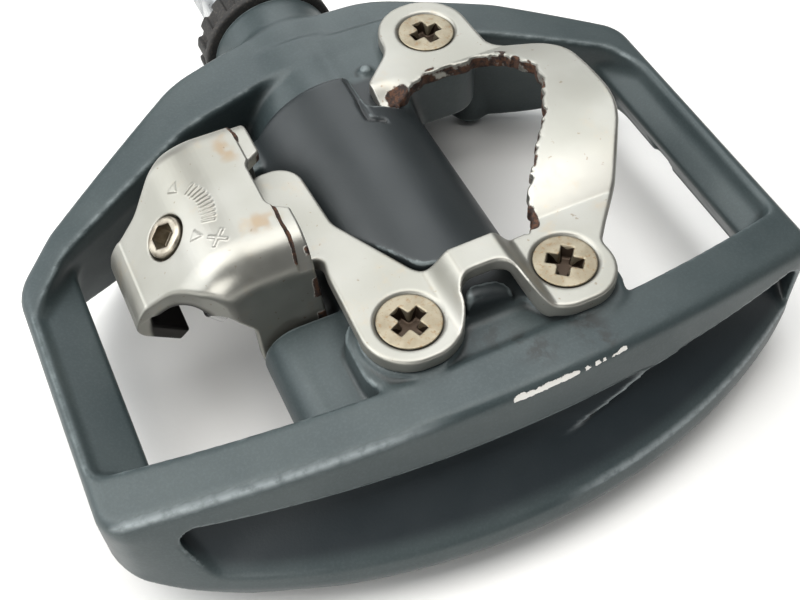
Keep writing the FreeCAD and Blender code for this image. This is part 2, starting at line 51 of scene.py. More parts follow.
# ---------------------------------------------------------------- fields
# A solid is a field: negative inside, positive outside, in millimetres.  The
# last number of a join, meet, cut or rod is the radius of its edge.
def join(a, b, radius=0.0):
    """Union with a fillet."""
    if radius <= 0:
        return np.minimum(a, b)
    fillet = np.hypot(np.maximum(radius - a, 0), np.maximum(radius - b, 0))
    return np.maximum(np.minimum(a, b), radius) - fillet


def meet(a, b, radius=0.0):
    """Intersection with a rounded edge."""
    if radius <= 0:
        return np.maximum(a, b)
    edge = np.hypot(np.maximum(a + radius, 0), np.maximum(b + radius, 0))
    return np.minimum(np.maximum(a, b), -radius) + edge


def cut(a, b, radius=0.0):
    """Take b out of a."""
    return meet(a, -b, radius)


def between(u, low, high):
    """Slab between two values of one coordinate."""
    return np.abs(u - (low + high) / 2) - (high - low) / 2


def smooth(u, low, high):
    """Smooth step from 0 at low to 1 at high."""
    t = np.clip((u - low) / (high - low), 0, 1)
    return t * t * (3 - 2 * t)


ARC_STEP = 3.5
ALMOST_STRAIGHT = 1.55


def rounded(corners):
    """Points of a closed outline of (u, v, radius) corners.  An arc has a point
    every ARC_STEP degrees, and a corner whose half angle is more than
    ALMOST_STRAIGHT radians stays a point."""
    points = []
    for i, (u, v, radius) in enumerate(corners):
        here = np.array((u, v), float)
        back = np.array(corners[i - 1][:2]) - here
        ahead = np.array(corners[(i + 1) % len(corners)][:2]) - here
        back /= np.linalg.norm(back)
        ahead /= np.linalg.norm(ahead)
        half = math.acos(np.clip(np.dot(back, ahead), -1, 1)) / 2
        if radius <= 0 or half > ALMOST_STRAIGHT:
            points.append(here)
            continue
        middle = (back + ahead) / np.linalg.norm(back + ahead)
        centre = here + middle * radius / math.sin(half)
        start = here + back * radius / math.tan(half) - centre
        sweep = math.pi - 2 * half
        if back[0] * ahead[1] - back[1] * ahead[0] > 0:
            sweep = -sweep
        steps = math.ceil(math.degrees(abs(sweep)) / ARC_STEP)
        for k in range(steps + 1):
            c, s = math.cos(sweep * k / steps), math.sin(sweep * k / steps)
            points.append(centre + (start[0] * c - start[1] * s, start[0] * s + start[1] * c))
    return np.array(points)


def from_line(u, v, start, end):
    """Steps along u and v from the nearest point of a straight line."""
    du, dv = end[0] - start[0], end[1] - start[1]
    t = np.clip(((u - start[0]) * du + (v - start[1]) * dv) / (du * du + dv * dv), 0, 1)
    return u - start[0] - t * du, v - start[1] - t * dv


def to_lines(u, v, lines):
    """Distance to the nearest of some straight lines."""
    return np.minimum.reduce([np.hypot(*from_line(u, v, start, end)) for start, end in lines])


def outline(u, v, corners):
    """Signed distance to a closed outline."""
    points = rounded(corners)
    u, v = np.broadcast_arrays(u, v)
    nearest = np.full(u.shape, np.inf, np.float32)
    inside = np.zeros(u.shape, bool)
    for start, end in zip(points, np.roll(points, -1, 0)):
        if math.dist(start, end) < 1e-5:
            continue
        off_u, off_v = from_line(u, v, start, end)
        nearest = np.minimum(nearest, off_u ** 2 + off_v ** 2)
        du, dv = end - start
        if dv:
            crosses = (start[1] > v) != (end[1] > v)
            inside ^= crosses & (u < start[0] + (v - start[1]) * du / dv)
    return np.where(inside, -np.sqrt(nearest), np.sqrt(nearest)).astype(np.float32)


def bowed(x, y, reach, end_y, middle_y):
    """Distance beyond a shallow arc that bulges towards -Y."""
    rise = end_y - middle_y
    radius = (reach ** 2 + rise ** 2) / (2 * rise)
    return np.hypot(x, y - middle_y - radius) - radius


def rod(u, v, w, radius, low, high, edge=0.0):
    """Cylinder along w."""
    return meet(np.hypot(u, v) - radius, between(w, low, high), edge)


NOISE_CELLS = 64


def rough(u, v, cell, seed):
    """Smooth seeded noise in the range -1 to 1."""
    lattice = np.random.default_rng(seed).uniform(-1, 1, (NOISE_CELLS, NOISE_CELLS))
    i, j = np.floor(u / cell).astype(int), np.floor(v / cell).astype(int)
    s, t = smooth(u / cell - i, 0, 1), smooth(v / cell - j, 0, 1)

    def knot(a, b):
        """Noise at one corner of each point's cell."""
        return lattice[(i + a) % NOISE_CELLS, (j + b) % NOISE_CELLS]

    near = knot(0, 0) * (1 - s) + knot(1, 0) * s
    far = knot(0, 1) * (1 - s) + knot(1, 1) * s
    return near * (1 - t) + far * t


# ---------------------------------------------------------------- meshes
def skin(name, low, high, step, solid, relax=2, place_matrix=None, marks=None):
    """Mesh of a solid's surface, one vertex in each grid cell that it crosses.
    The grid runs from low to high in steps of step millimetres."""
    axes = [np.arange(l, h + step, step, dtype=np.float32) for l, h in zip(low, high)]
    x, y, z = axes[0][:, None, None], axes[1][None, :, None], axes[2][None, None, :]
    shape = tuple(len(a) for a in axes)
    value = np.broadcast_to(solid(x, y, z), shape)
    inside = value < 0
    strides = (shape[1] * shape[2], shape[2], 1)

    # Each grid edge that crosses the surface gives a crossing point to the four
    # cells round it, and a quad between them.
    cells, crossings, quads = [], [], []
    for a in range(3):
        b, c = (a + 1) % 3, (a + 2) % 3
        first = [slice(None)] * 3
        second = [slice(None)] * 3
        first[a], second[a] = slice(None, -1), slice(1, None)
        node = np.argwhere(inside[tuple(first)] != inside[tuple(second)])
        following = node.copy()
        following[:, a] += 1
        f0, f1 = value[tuple(node.T)], value[tuple(following.T)]
        crossing = node.astype(np.float64)
        crossing[:, a] += f0 / (f0 - f1)
        base = node @ np.array(strides)
        ring = [base, base - strides[b], base - strides[b] - strides[c], base - strides[c]]
        cells += ring
        crossings += [crossing] * 4
        quad = np.stack(ring, 1)
        quad[f0 > 0] = quad[f0 > 0][:, ::-1]
        quads.append(quad)

    # A vertex starts at the mean of its cell's crossings, then is evened out
    # with its neighbours and put back on the surface.
    ids, index = np.unique(np.concatenate(cells), return_inverse=True)
    crossings = np.concatenate(crossings)
    sums = [np.bincount(index, crossings[:, k]) for k in range(3)]
    vertices = np.stack(sums, 1) / np.bincount(index)[:, None]
    origin = np.array([a[0] for a in axes])
    vertices = vertices * step + origin
    faces = np.searchsorted(ids, np.concatenate(quads))
    neighbours = Neighbours(faces, len(ids))
    for _ in range(relax):
        vertices = 0.5 * vertices + 0.5 * neighbours.mean(vertices)
        vertices = settle(value, (vertices - origin) / step) * step + origin
    return piece(name, vertices, faces, neighbours, step, place_matrix, marks)


def sample(value, at):
    """Field value between grid nodes."""
    node = np.clip(np.floor(at).astype(int), 0, np.array(value.shape) - 2)
    part = at - node
    total = 0
    for corner in np.ndindex(2, 2, 2):
        weight = np.prod(np.where(corner, part, 1 - part), axis=1)
        total = total + weight * value[tuple((node + corner).T)]
    return total


def settle(value, at):
    """Move points the short way onto the surface, half a cell at most."""
    reach = 0.6
    rises = [sample(value, at + reach * axis) - sample(value, at - reach * axis) for axis in np.eye(3)]
    slope = np.stack(rises, 1) / (2 * reach)
    size = (slope ** 2).sum(1) + 1e-9
    move = slope * (sample(value, at) / size)[:, None]
    return at - np.clip(move, -0.5, 0.5)


class Neighbours:
    """Averages over the vertices joined to each vertex."""

    def __init__(self, faces, count):
        self.a = np.concatenate([faces[:, k] for k in range(4)])
        self.b = np.concatenate([faces[:, (k + 1) % 4] for k in range(4)])
        self.count = count
        self.number = np.bincount(self.a, minlength=count) + np.bincount(self.b, minlength=count)

    def mean(self, values):
        """Mean of the values at each vertex's neighbours."""
        out = np.empty_like(values)
        for k in range(values.shape[1]):
            out[:, k] = (np.bincount(self.a, values[self.b, k], self.count)
                         + np.bincount(self.b, values[self.a, k], self.count))
        return out / self.number[:, None]


BEND_REACH = 0.9
BEND_UNIT = 0.25


def piece(name, points, faces, neighbours, step, matrix, marks):
    """Mesh object with a bend attribute: positive on convex edges, negative in
    corners, and any further marks.  A bend of 1 is a point that stands
    BEND_UNIT proud of the surface round it, evened out over BEND_REACH."""
    across = points[faces[:, 2]] - points[faces[:, 0]]
    other = points[faces[:, 3]] - points[faces[:, 1]]
    normal = np.cross(across, other)
    sums = [np.bincount(faces.ravel(), np.repeat(normal[:, k], 4), len(points)) for k in range(3)]
    outward = np.stack(sums, 1)
    outward /= np.linalg.norm(outward, axis=1)[:, None] + 1e-12
    calm = points
    for _ in range(max(2, int(round((BEND_REACH / step) ** 2)))):
        calm = neighbours.mean(calm)
    bend = ((points - calm) * outward).sum(1) / BEND_UNIT
    extra = marks(points) if marks else {}
    if matrix is not None:
        points = points @ np.array(matrix.to_3x3()).T + np.array(matrix.translation)
    world = (points - (0, SHOULDER_Y, 0)) / 1000
    mesh = bpy.data.meshes.new(name)
    mesh.vertices.add(len(world))
    mesh.vertices.foreach_set("co", world.astype(np.float32).ravel())
    mesh.loops.add(faces.size)
    mesh.loops.foreach_set("vertex_index", faces.astype(np.int32).ravel())
    mesh.polygons.add(len(faces))
    mesh.polygons.foreach_set("loop_start", np.arange(0, faces.size, 4, dtype=np.int32))
    mesh.update(calc_edges=True)
    mesh.shade_smooth()
    for key, values in {"bend": bend, **extra}.items():
        layer = mesh.attributes.new(key, "FLOAT", "POINT")
        layer.data.foreach_set("value", np.asarray(values, np.float32))
    obj = bpy.data.objects.new(name, mesh)
    bpy.context.scene.collection.objects.link(obj)
    return obj


# ------------------------------------------------------------------ cage
# Screws and pins are (x, y).  Outlines are (x, y, radius) corners seen from
# above, or (x, z, radius) for the bars, the slot and the jaw seen from the side.
SCREWS = [(17.4, 23.3), (13.9, -22.8), (-7.2, -22.8)]
CRANK_EDGE = [(48.6, 19.2, 5), (32, 29.9, 14), (14, 37.5, 18), (-4, 37.2, 28), (-19, 32.9, 16),
              (-42.4, 15.2, 9), (-48.6, 8.4, 7)]
CRANK_WINDOW = [(-48, -60, 0), (-47.5, 3, 1), (-41.4, 10.4, 7), (-20, 22.8, 14), (-6, 26.6, 10),
                (18, 27.8, 6), (43.8, 14.8, 5), (46.6, 9, 3), (46.6, -60, 0)]
FRONT_BAR = [(60, 9, 0), (48.4, 4.9, 0.4), (47.2, 4.4, 0.6), (42.8, 0.6, 1.0), (45.0, -3.4, 0.8),
             (46.8, -6.6, 0.4), (46.8, -20, 0), (60, -20, 0)]
REAR_BAR = [(-60, 9, 0), (-48.4, 4.9, 0.4), (-47.2, 4.4, 0.6), (-40.6, 1.0, 1.0), (-42.0, -3.4, 0.8),
            (-43.8, -6.6, 0.4), (-43.8, -20, 0), (-60, -20, 0)]
CRANK_BOSS = [(2.6, 27, 0), (2.6, 12.4, 1), (9.4, 12.4, 2.5), (11.5, 16.4, 2), (23.6, 16.4, 5),
              (24.6, 31, 6), (2.6, 31, 0)]
OUTER_BLOCK = [(-14.6, -17.2, 4), (20.6, -17.2, 5), (20.6, -30.2, 5), (-14.6, -30.2, 5)]
PLATE = [(10.4, 22, 5), (11, 30.2, 6.5), (23.6, 30.2, 6.5), (24.2, 17.0, 3), (27.6, 14.6, 3),
         (32.6, 11.4, 8), (32.8, -4, 12), (26.0, -14.6, 6), (22.6, -18.4, 4), (19.6, -22, 2),
         (20.4, -29.4, 5.4), (7.6, -29.4, 5.6), (6.5, -21.3, 2.6), (-0.4, -21.3, 2.6), (-0.9, -28.8, 6),
         (-13.6, -28.8, 6), (-13.2, -12, 3), (-12.9, -9.4, 1), (-17.2, -9.0, 1.5), (-17.2, 7.2, 3),
         (-10.0, 7.2, 3.5), (-9.4, -4.8, 4), (-2.6, -17.4, 4), (6.4, -17.2, 3), (13.4, -16.6, 1),
         (14.6, -11.6, 4), (22.2, -2.2, 8), (26.6, 6.4, 6), (24.2, 14.4, 4), (13.0, 15.4, 4),
         (8.6, 12.6, 1), (5.6, 12.8, 1), (5.4, 17.0, 1)]
GRIP_PINS = [(45.4, -25.0), (-45.4, -25.0), (11.5, -38.0), (-11.5, -38.0), (44.6, 17.6), (-45.9, 6.6),
             (28.0, 28.6), (-28.2, 23.4)]

# The jaw's pivot is (x, z).  Rods along y are radius, low end, high end and,
# where it is rounded, the edge.
PIVOT = (-18.2, 0.5)
BARREL, NECK, BOSS = (12.8, -24, 19.6, 1.2), (10.2, 10, 32, 0.4), (9.6, 28, 43.2, 0.5)
BORE, PIVOT_HOLE = (8.2, -14, 46), (2.1, -22.2, 30)
EAR_RADIUS, EARS = 4.8, ((-29, -12.9), (14.5, 20))

# Side view: a shallow arch along x, a flat underside and a ramp at each end,
# with its rise over its run, its length and its rise over one millimetre.
CROWN_RADIUS, CROWN_Z, UNDERSIDE_Z = 248.5, 9.6, -12.6
RAMP_START, RAMP_RISE, RAMP_RUN, RAMP_LENGTH, RAMP_TILT = 33, 6, 16.6, 17.65, 0.3615

# Outer side plate: half its length, and how far out its face is at the ends
# and in the middle, for heights from the underside to the top.
FACE_REACH = 47.8
FACE_Z = (-13.4, -8.0, -5.4, 3.0, 10.4)
FACE_END_Y = (-28.4, -30.0, -29.8, -30.4, -28.4)
FACE_MIDDLE_Y = (-42.4, -44.8, -44.0, -37.2, -36.0)

# The windows widen below FLARE_Z, and end at a bow beside the outer plate.
FLARE, FLARE_Z = 4.0, 4.0
WINDOW_END_Y, WINDOW_MIDDLE_Y = -22.2, -29.2

# Slot along the outer face, between the band and the lip.  The fin's wall is a
# plane: y at the origin, slopes along x and z, length of the normal.  Its end
# is a curve: x at z = 0, slant, bow, length of the normal.
BAND_Z, LIP_Z, SLOT_DEPTH, SLOT_CURVE = 3.0, -5.6, 4.9, 1.9
SLOT = [(-41.6, BAND_Z, 2.2), (-38.4, -5.8, 2.0), (-30, -7.4, 4), (45.4, -7.4, 2), (45.4, BAND_Z, 2.4)]
FIN_Y, FIN_YAW, FIN_LEAN, FIN_NORMAL = -34.1, 0.119, 0.8, 1.29
FIN_Z = 1.5
FIN_END_X, FIN_SLANT, FIN_BOW, FIN_END_NORMAL = 14.4, 3.2, 2.2, 3.35
SCALLOP_X, SCALLOP_Z, SCALLOP_RADIUS, SCALLOP_Y = -30.6, -18.1, 8.0, -30

# Seats for the plate, its recess and screw holes, the grip pins and their
# bosses, the pockets in the underside, and a nib beside the crank screw.
SEAT_LOW, SEAT_HIGH, BLOCK_HIGH, SEAT_RADIUS = 0.6, 9.8, 9.0, 6.4
RECESS_GAP, SCREW_HOLE, SCREW_HOLE_END = 0.5, 2.6, 1.4
PIN_BOSS, PIN_HOLE, PIN_DEPTH, PIN_PROUD = 2.8, 1.72, 5.0, 1.1
POCKET_REACH, POCKET_OUT, POCKET_IN, POCKET_ROOF = 36, (-33.6, -41.6), (-25.6, -31.0), -7.8
POCKETS = ((-33, -14.6), (-8.4, 8.4), (14.6, 33))
NIB, NIB_RADIUS = (6.8, 21.3, 9.9), 1.0

# Marks, as straight lines seen from above.
CHIPS = [((0.1, -36.3), (2.4, -36.4)), ((2.4, -36.4), (8.4, -36.2)), ((13.3, -36.0), (15.3, -35.5)),
         ((9.7, -36.1), (9.9, -36.1)), ((11.0, -36.1), (11.3, -36.0)), ((12.1, -36.0), (12.3, -36.0)),
         ((-43.4, -27.6), (-43.0, -26.4))]
SCUFFS = [((1.2, -26.7), (5.6, -31.8)), ((12.5, -29.9), (13.1, -33.3)), ((-30, -33), (-22, -32.6))]
GROOVE = [((2.7, 18.9), (2.2, 9.9)), ((2.2, 9.9), (4.3, 9.1))]
GROOVE_HALF, GROOVE_DEPTH, GROOVE_LOW = 0.35, 0.5, 5


def outer_face(x, y, z):
    """Distance beyond the outer side plate's curved face, which reaches
    furthest out low down, at the lip."""
    spread = (-0.5, 0, 0.5)
    end = sum(np.interp(z + s, FACE_Z, FACE_END_Y) for s in spread) / 3
    middle = sum(np.interp(z + s, FACE_Z, FACE_MIDDLE_Y) for s in spread) / 3
    return bowed(x, y, FACE_REACH, end, middle)


def crown(x, z):
    """Distance above the arched top."""
    return np.hypot(x, z + (CROWN_RADIUS - CROWN_Z)) - CROWN_RADIUS


def lens(x, z):
    """Side view of the cage."""
    ramp = ((np.abs(x) - RAMP_START) * RAMP_RISE - (z - UNDERSIDE_Z) * RAMP_RUN) / RAMP_LENGTH
    return meet(crown(x, z), meet(UNDERSIDE_Z - z, ramp, 2.0), 1.2)


def underside(x):
    """Height of the underside at one x."""
    return UNDERSIDE_Z + max(0, abs(x) - RAMP_START) * RAMP_TILT


def fin_edge(x, z):
    """Distance past the fin's slanting end."""
    return (x - FIN_END_X - FIN_SLANT * z + (z / FIN_BOW) ** 2) / FIN_END_NORMAL


def slot_back(x, y, z, face):
    """Back wall of the slot: steep under the band, sweeping out to the lip,
    with a fin that stands proud of it under the middle of the band."""
    drop = np.clip((BAND_Z - z) / (BAND_Z - LIP_Z), 0, 1.2)
    hollow = face + SLOT_DEPTH * (1 - drop ** SLOT_CURVE)
    fin_wall = (FIN_Y - FIN_YAW * x - FIN_LEAN * (FIN_Z - z) - y) / FIN_NORMAL
    return join(hollow, meet(fin_wall, fin_edge(x, z), 0.5), 0.6)


def cage_shell(x, y, z):
    """The cage's outside, with its windows, its slot and a scallop below it."""
    plan = outline(x, y, CRANK_EDGE + [(-48.6, -70, 0), (48.6, -70, 0)])
    face = outer_face(x, y, z)
    shell = meet(meet(plan, face, 3.0), lens(x, z), 1.3)

    flare = FLARE * np.clip((FLARE_Z - z) / (FLARE_Z - UNDERSIDE_Z), 0, 1)
    bow = bowed(x, y, FACE_REACH, WINDOW_END_Y, WINDOW_MIDDLE_Y)
    window = meet(outline(x, y, CRANK_WINDOW) - flare, bow, 1.5)
    bars = np.minimum(outline(x, z, FRONT_BAR), outline(x, z, REAR_BAR))
    shell = cut(shell, meet(window, -bars, 1.6), 0.8)

    slot = meet(outline(x, z, SLOT), -slot_back(x, y, z, face), 1.2)
    shell = cut(shell, slot, 0.3)
    scallop = np.hypot(x - SCALLOP_X, z - SCALLOP_Z) - SCALLOP_RADIUS
    return cut(shell, np.maximum(scallop, y - SCALLOP_Y), 0.5)


def plate_seats(x, y, z):
    """Blocks that the binding plate is screwed down on."""
    seats = meet(outline(x, y, CRANK_BOSS), between(z, SEAT_LOW, SEAT_HIGH), 0.4)
    seats = join(seats, meet(outline(x, y, OUTER_BLOCK), between(z, SEAT_LOW, BLOCK_HIGH), 0.5), 0.5)
    for px, py in SCREWS[1:]:
        post = meet(np.hypot(x - px, y - py) - SEAT_RADIUS, between(z, SEAT_LOW, SEAT_HIGH), 0.3)
        seats = join(seats, post, 0.4)
    return seats


def pivot_ear(x, y, z, low, high):
    """Ear for the jaw's pivot pin, and the block that ties it to the barrel."""
    ear = rod(x - PIVOT[0], z - PIVOT[1], y, EAR_RADIUS, low, high, 0.5)
    block = meet(between(x, PIVOT[0], -6), between(z, PIVOT[1] - EAR_RADIUS, PIVOT[1] + EAR_RADIUS), 0.3)
    return join(ear, meet(block, between(y, low, high), 0.5))


def cage_holes(body, x, y, z):
    """Bore, holes, recesses and the pockets in the underside."""
    body = cut(body, rod(x, z, y, *BORE), 0.4)
    body = cut(body, rod(x - PIVOT[0], z - PIVOT[1], y, *PIVOT_HOLE), 0.2)
    body = cut(body, meet(outline(x, y, PLATE) - RECESS_GAP, SEAT_HIGH - z), 0.2)
    nub_room = meet(between(x, 3.2, 14), between(y, 12.4, 20), 0.6)
    body = cut(body, meet(nub_room, SEAT_HIGH - z), 0.15)
    for px, py in SCREWS:
        body = cut(body, meet(np.hypot(x - px, y - py) - SCREW_HOLE, SCREW_HOLE_END - z))
    for px, py in GRIP_PINS:
        hole = meet(np.hypot(x - px, y - py) - PIN_HOLE, z - underside(px) - PIN_DEPTH)
        body = cut(body, hole, 0.25)

    pocket = meet(bowed(x, y, POCKET_REACH, *POCKET_OUT), -bowed(x, y, POCKET_REACH, *POCKET_IN), 1.0)
    spans = np.minimum.reduce([between(x, low, high) for low, high in POCKETS])
    body = cut(body, meet(meet(pocket, spans, 1.5), z - POCKET_ROOF, 1.0), 0.5)
    for low, high in ((-47.4, -39.6), (39.6, 47.4)):
        end_pocket = meet(between(x, low, high), between(y, -1.4, 3.2), 0.6)
        body = cut(body, meet(end_pocket, z + 3.2, 0.5), 0.3)
    return body


def cage(x, y, z):
    """The cast cage, which carries everything but the spindle."""
    body = cage_shell(x, y, z)
    body = join(body, join(rod(x, z, y, *NECK), rod(x, z, y, *BOSS), 0.6), 1.5)
    body = join(body, plate_seats(x, y, z), 0.8)
    body = join(body, rod(x, z, y, *BARREL), 1.4)
    for low, high in EARS:
        body = join(body, pivot_ear(x, y, z, low, high), 0.8)
    height = np.maximum(lens(x, z), z + 4)
    bosses = [meet(np.hypot(x - px, y - py) - PIN_BOSS, height, 0.3) for px, py in GRIP_PINS[4:]]
    body = join(body, np.minimum.reduce(bosses), 0.8)

    nib = np.sqrt((x - NIB[0]) ** 2 + (y - NIB[1]) ** 2 + (z - NIB[2]) ** 2) - NIB_RADIUS
    body = join(body, nib, 0.4)
    shallow = np.maximum(BARREL[0] - GROOVE_DEPTH - np.hypot(x, z), GROOVE_LOW - z)
    body = cut(body, np.maximum(to_lines(x, y, GROOVE) - GROOVE_HALF, shallow), 0.15)
    return cage_holes(body, x, y, z)


def cage_marks(points):
    """Where the paint is dark on the barrel, chipped and scuffed, with painted shade inside the slot and a
    painted highlight along the lip, the fin and the rear rim."""
    x, y, z = points.T
    radial = np.hypot(x, z)
    barrel = smooth(radial, 13.6, 12.9) * smooth(y, 20.4, 19.4) * smooth(y, -24.6, -23.8)
    chip = smooth(to_lines(x, y, CHIPS), 0.82, 0.1) * smooth(z, 7.9, 8.5)
    scuff = smooth(to_lines(x, y, SCUFFS), 3.4, 0.4) * smooth(z, 8.6, 9.2)
    depth = -outer_face(x, y, z)
    # The slot mark is painted shade inside the slot, under the overhanging band.
    low_side = smooth(z, BAND_Z + 0.3, BAND_Z - 0.6) * smooth(y, -26, -28)
    slot = low_side * smooth(depth, 0.4, 1.6) * smooth(z, -5.7, -5.0)
    # The lip, fin and rim marks make up the crest: a painted highlight along those edges.
    lip = smooth(np.abs(z - LIP_Z), 0.5, 0.1) * smooth(depth, 0.7, 0.3)
    lip = 0.7 * lip * smooth(x, 2, 12) * smooth(y, -27, -29)
    fin = low_side * smooth(np.abs(fin_edge(x, z) + 0.2), 0.5, 0.1)
    fin = 0.7 * fin * smooth(z, -1.9, -0.6) * smooth(depth, 4.2, 3.6)
    rim = smooth(np.maximum(depth, -crown(x, z)), 1.0, 0.3) * smooth(x, -6, -18) * smooth(y, -24, -27)
    crest = np.maximum(np.maximum(lip, fin), rim)
    return {"barrel": barrel, "chip": chip, "scuff": scuff, "slot": slot, "crest": crest}


# ----------------------------------------------------------------- plate
PLATE_Z, PLATE_SHEET = 12.0, 2.2
ARCH_Z, ARCH_RADIUS = 15.2, 39.14
BRIDGE_RISE, NUB_DROP = 3.3, 1.7
HEAD_RADIUS, HEAD_SLOPE, HEAD_GAP = 4.25, 0.85, 0.2


def plate_height(x, y):
    """Top of the bent sheet above the spindle axis: arched along the claw, with
    a bridge between the two outer screws and a nub bent down by the barrel."""
    arch = ARCH_Z - ARCH_RADIUS + np.sqrt(ARCH_RADIUS ** 2 - np.clip(y, -30, 30) ** 2)
    claw = PLATE_Z + np.maximum(arch - PLATE_Z, 0) * smooth(x, 12.0, 13.2)
    bridge = smooth(x, -3.0, 0.6) * smooth(x, 9.8, 6.2)
    nub = smooth(y, 16.6, 12.8) * smooth(x, 10.6, 6.8) * smooth(y, 8, 10)
    return np.where((y < -8) & (x < 11), PLATE_Z + BRIDGE_RISE * bridge, claw - NUB_DROP * nub)


CLAW_EDGE = [(9.0, 12.6), (13.0, 15.0), (20.0, 14.9), (24.0, 13.6), (26.2, 6.4), (22.2, -2.2),
             (14.8, -11.0), (13.6, -16.4)]


def claw_zone(x, y):
    """1 along the claw's worn inner edge."""
    return smooth(to_lines(x, y, zip(CLAW_EDGE, CLAW_EDGE[1:])), 3.0, 1.8)


def plate_marks(points):
    """Rust down the claw's ragged wall, in its notch and on the bent nub, and
    polish on the claw's ramp."""
    x, y, z = points.T
    depth = plate_height(x, y) - z
    edge = outline(x, y, PLATE)
    wall = smooth(edge, -1.0, -0.35) * smooth(depth, 0.15, 0.6)
    patchy = 0.6 + 0.4 * rough(x + z, y - z, 2.2, 11)
    lip = smooth(edge, -0.9, -0.1) * smooth(rough(x, y, 1.8, 12), 0.1, 0.6)
    nub = smooth(y, 15.6, 14.0) * smooth(x, 6.0, 7.4) * smooth(x, 10.4, 9.2) * smooth(y, 10, 11)
    ramp = smooth(x, 12, 15) * smooth(y, 2, -6) * smooth(y, -17.5, -14.5)
    notch = smooth(np.hypot((x - 23.0) / 1.5, y - 13.2), 2.0, 0.8) * smooth(rough(x, y, 0.8, 13), -0.4, 0.3)
    edges = claw_zone(x, y) * np.maximum(wall * patchy, 0.8 * lip)
    return {"rust": np.maximum(np.maximum(edges, 0.8 * notch), 0.85 * nub), "polish": ramp}


def binding_plate(x, y, z):
    """Bent sheet with a worn, ragged claw and three countersunk holes."""
    top = plate_height(x, y)[:, :, 0]
    rise_x, rise_y = np.gradient(top, float(x[1, 0, 0] - x[0, 0, 0]), float(y[0, 1, 0] - y[0, 0, 0]))
    lean = np.sqrt(1 + rise_x ** 2 + rise_y ** 2)[:, :, None]
    half = PLATE_SHEET / 2
    sheet = np.abs(z - top[:, :, None] + half * lean) / lean - half
    ragged = rough(x, y, 1.5, 3) * 0.45 + rough(x, y, 0.6, 4) * 0.26
    edge = outline(x, y, PLATE) + claw_zone(x, y) * ragged
    solid = meet(sheet, edge, 0.4)
    for px, py in SCREWS:
        away = np.hypot(x - px, y - py)
        rim = away - (HEAD_RADIUS + HEAD_GAP)
        solid = cut(solid, np.maximum(rim + (PLATE_Z - z) * HEAD_SLOPE, rim), 0.12)
        solid = cut(solid, away - SCREW_HOLE)
    return solid


# ---------------------------------------------------------------- screws
def screw(x, y, z):
    """Countersunk head with a cross recess; the head's top at z = 0."""
    away = np.hypot(x, y)
    dome = z + away ** 2 * 0.006
    cone = (away - HEAD_RADIUS - z * HEAD_SLOPE) * 0.76
    head = meet(np.maximum(dome, -2.1 - z), cone, 0.22)
    solid = join(head, rod(x, y, z, 2.45, -10, -1.5, 0.3))
    wing = 0.62 + 0.12 * np.clip(z + 1.5, 0, 2)
    reach = 2.35 + 0.35 * np.clip(z, -2, 0)
    across = np.maximum(np.abs(x) - reach, np.abs(y) - wing)
    along = np.maximum(np.abs(y) - reach, np.abs(x) - wing)
    recess = meet(join(across, along, 0.35), -1.7 - z, 0.2)
    return cut(solid, recess, 0.12)


def hexagon(u, v, half):
    """Distance beyond the flats of a hexagon, half its width from the middle."""
    return np.maximum.reduce([np.abs(u * math.cos(a) + v * math.sin(a)) - half
                              for a in (0, math.pi / 3, 2 * math.pi / 3)])


def helix(u, v, w, pitch):
    """From 1 down to 0 and back to 1 at each turn of a right-hand thread."""
    turn = np.arctan2(v, u) / (2 * math.pi)
    return np.abs(((w / pitch - turn) % 1.0) - 0.5) * 2


# ------------------------------------------------------------------- jaw
JAW_Y, JAW_HALF, JAW_SHEET = 0.8, 13.2, 2.2
JAW_LEAN, JAW_FAR_RADIUS, JAW_NEAR_RADIUS = 0.08, 3.6, 5.0
JAW_HOOD = [(0, 17.2, 0), (-25.2, 17.2, 11), (-36.4, 7.4, 7), (-36.4, -18, 0), (0, -18, 0)]
JAW_PLAN = [(-8, 13.2, 0), (-24.4, 13.2, 2), (-28.4, 10.2, 3), (-31.6, 7.0, 4), (-34.5, 5.9, 4),
            (-40, 5.9, 0)]
JAW_SIDE = [(-14.4, 20, 0), (-14.4, 12.4, 0.4), (-13.6, 3, 2), (-14, -4.2, 4.4), (-22.6, -4.2, 4.4),
            (-23.0, 6, 3), (-26, 9.6, 1.5), (-38.4, 5.6, 0), (-38.4, 20, 0)]
JAW_CURL = [(-36.4, 9, 0), (-36.4, 4.2, 2.6), (-31.4, 0.5, 0.4), (-29.8, 1.9, 0.4), (-34.2, 5.35, 0.6),
            (-34.2, 9, 0)]
JAW_NOTCH = [(-10, 6.4, 0), (-14.6, 6.4, 1), (-16.8, 5.0, 1.5), (-16.8, -2.6, 1.5), (-14.6, -4.0, 1),
             (-10, -4.0, 0)]
JAW_STEP, STEP_DROP = (-16.5, -16.2), 0.3
ADJUSTER = Matrix.Translation((-29.7, JAW_Y, 14.0)) @ Matrix.Rotation(math.radians(-38), 4, "Y")
ADJUSTER_HOLE, ADJUSTER_PITCH = 3.0, 0.8

# The dial, in degrees round the adjuster and millimetres out from it.
TICKS, TICK_FROM, TICK_STEP, TICK_OUT = 11, 31, 5.4, 6.7
POINTERS, PLUS = ((51, 5.8), (-42, 4.9)), (-42.8, 8.5)
DIAL_HEIGHT = 0.24


def adjuster_axes(x, y, z):
    """Coordinates along the adjuster bolt's own axes."""
    inverse = ADJUSTER.inverted()
    return [sum(inverse[k][m] * c for m, c in enumerate((x, y, z))) + inverse[k][3] for k in range(3)]


def jaw_hood(x, y, z, inset):
    """The jaw's rounded outside, or its inside with the sheet as the inset."""
    far_side = y - JAW_Y - JAW_HALF + inset
    near_side = JAW_Y - y - JAW_HALF + JAW_LEAN * np.clip(z - 2, 0, None) + inset
    hood = meet(outline(x, z, JAW_HOOD) + inset, far_side, JAW_FAR_RADIUS - inset)
    return meet(hood, near_side, JAW_NEAR_RADIUS - inset)


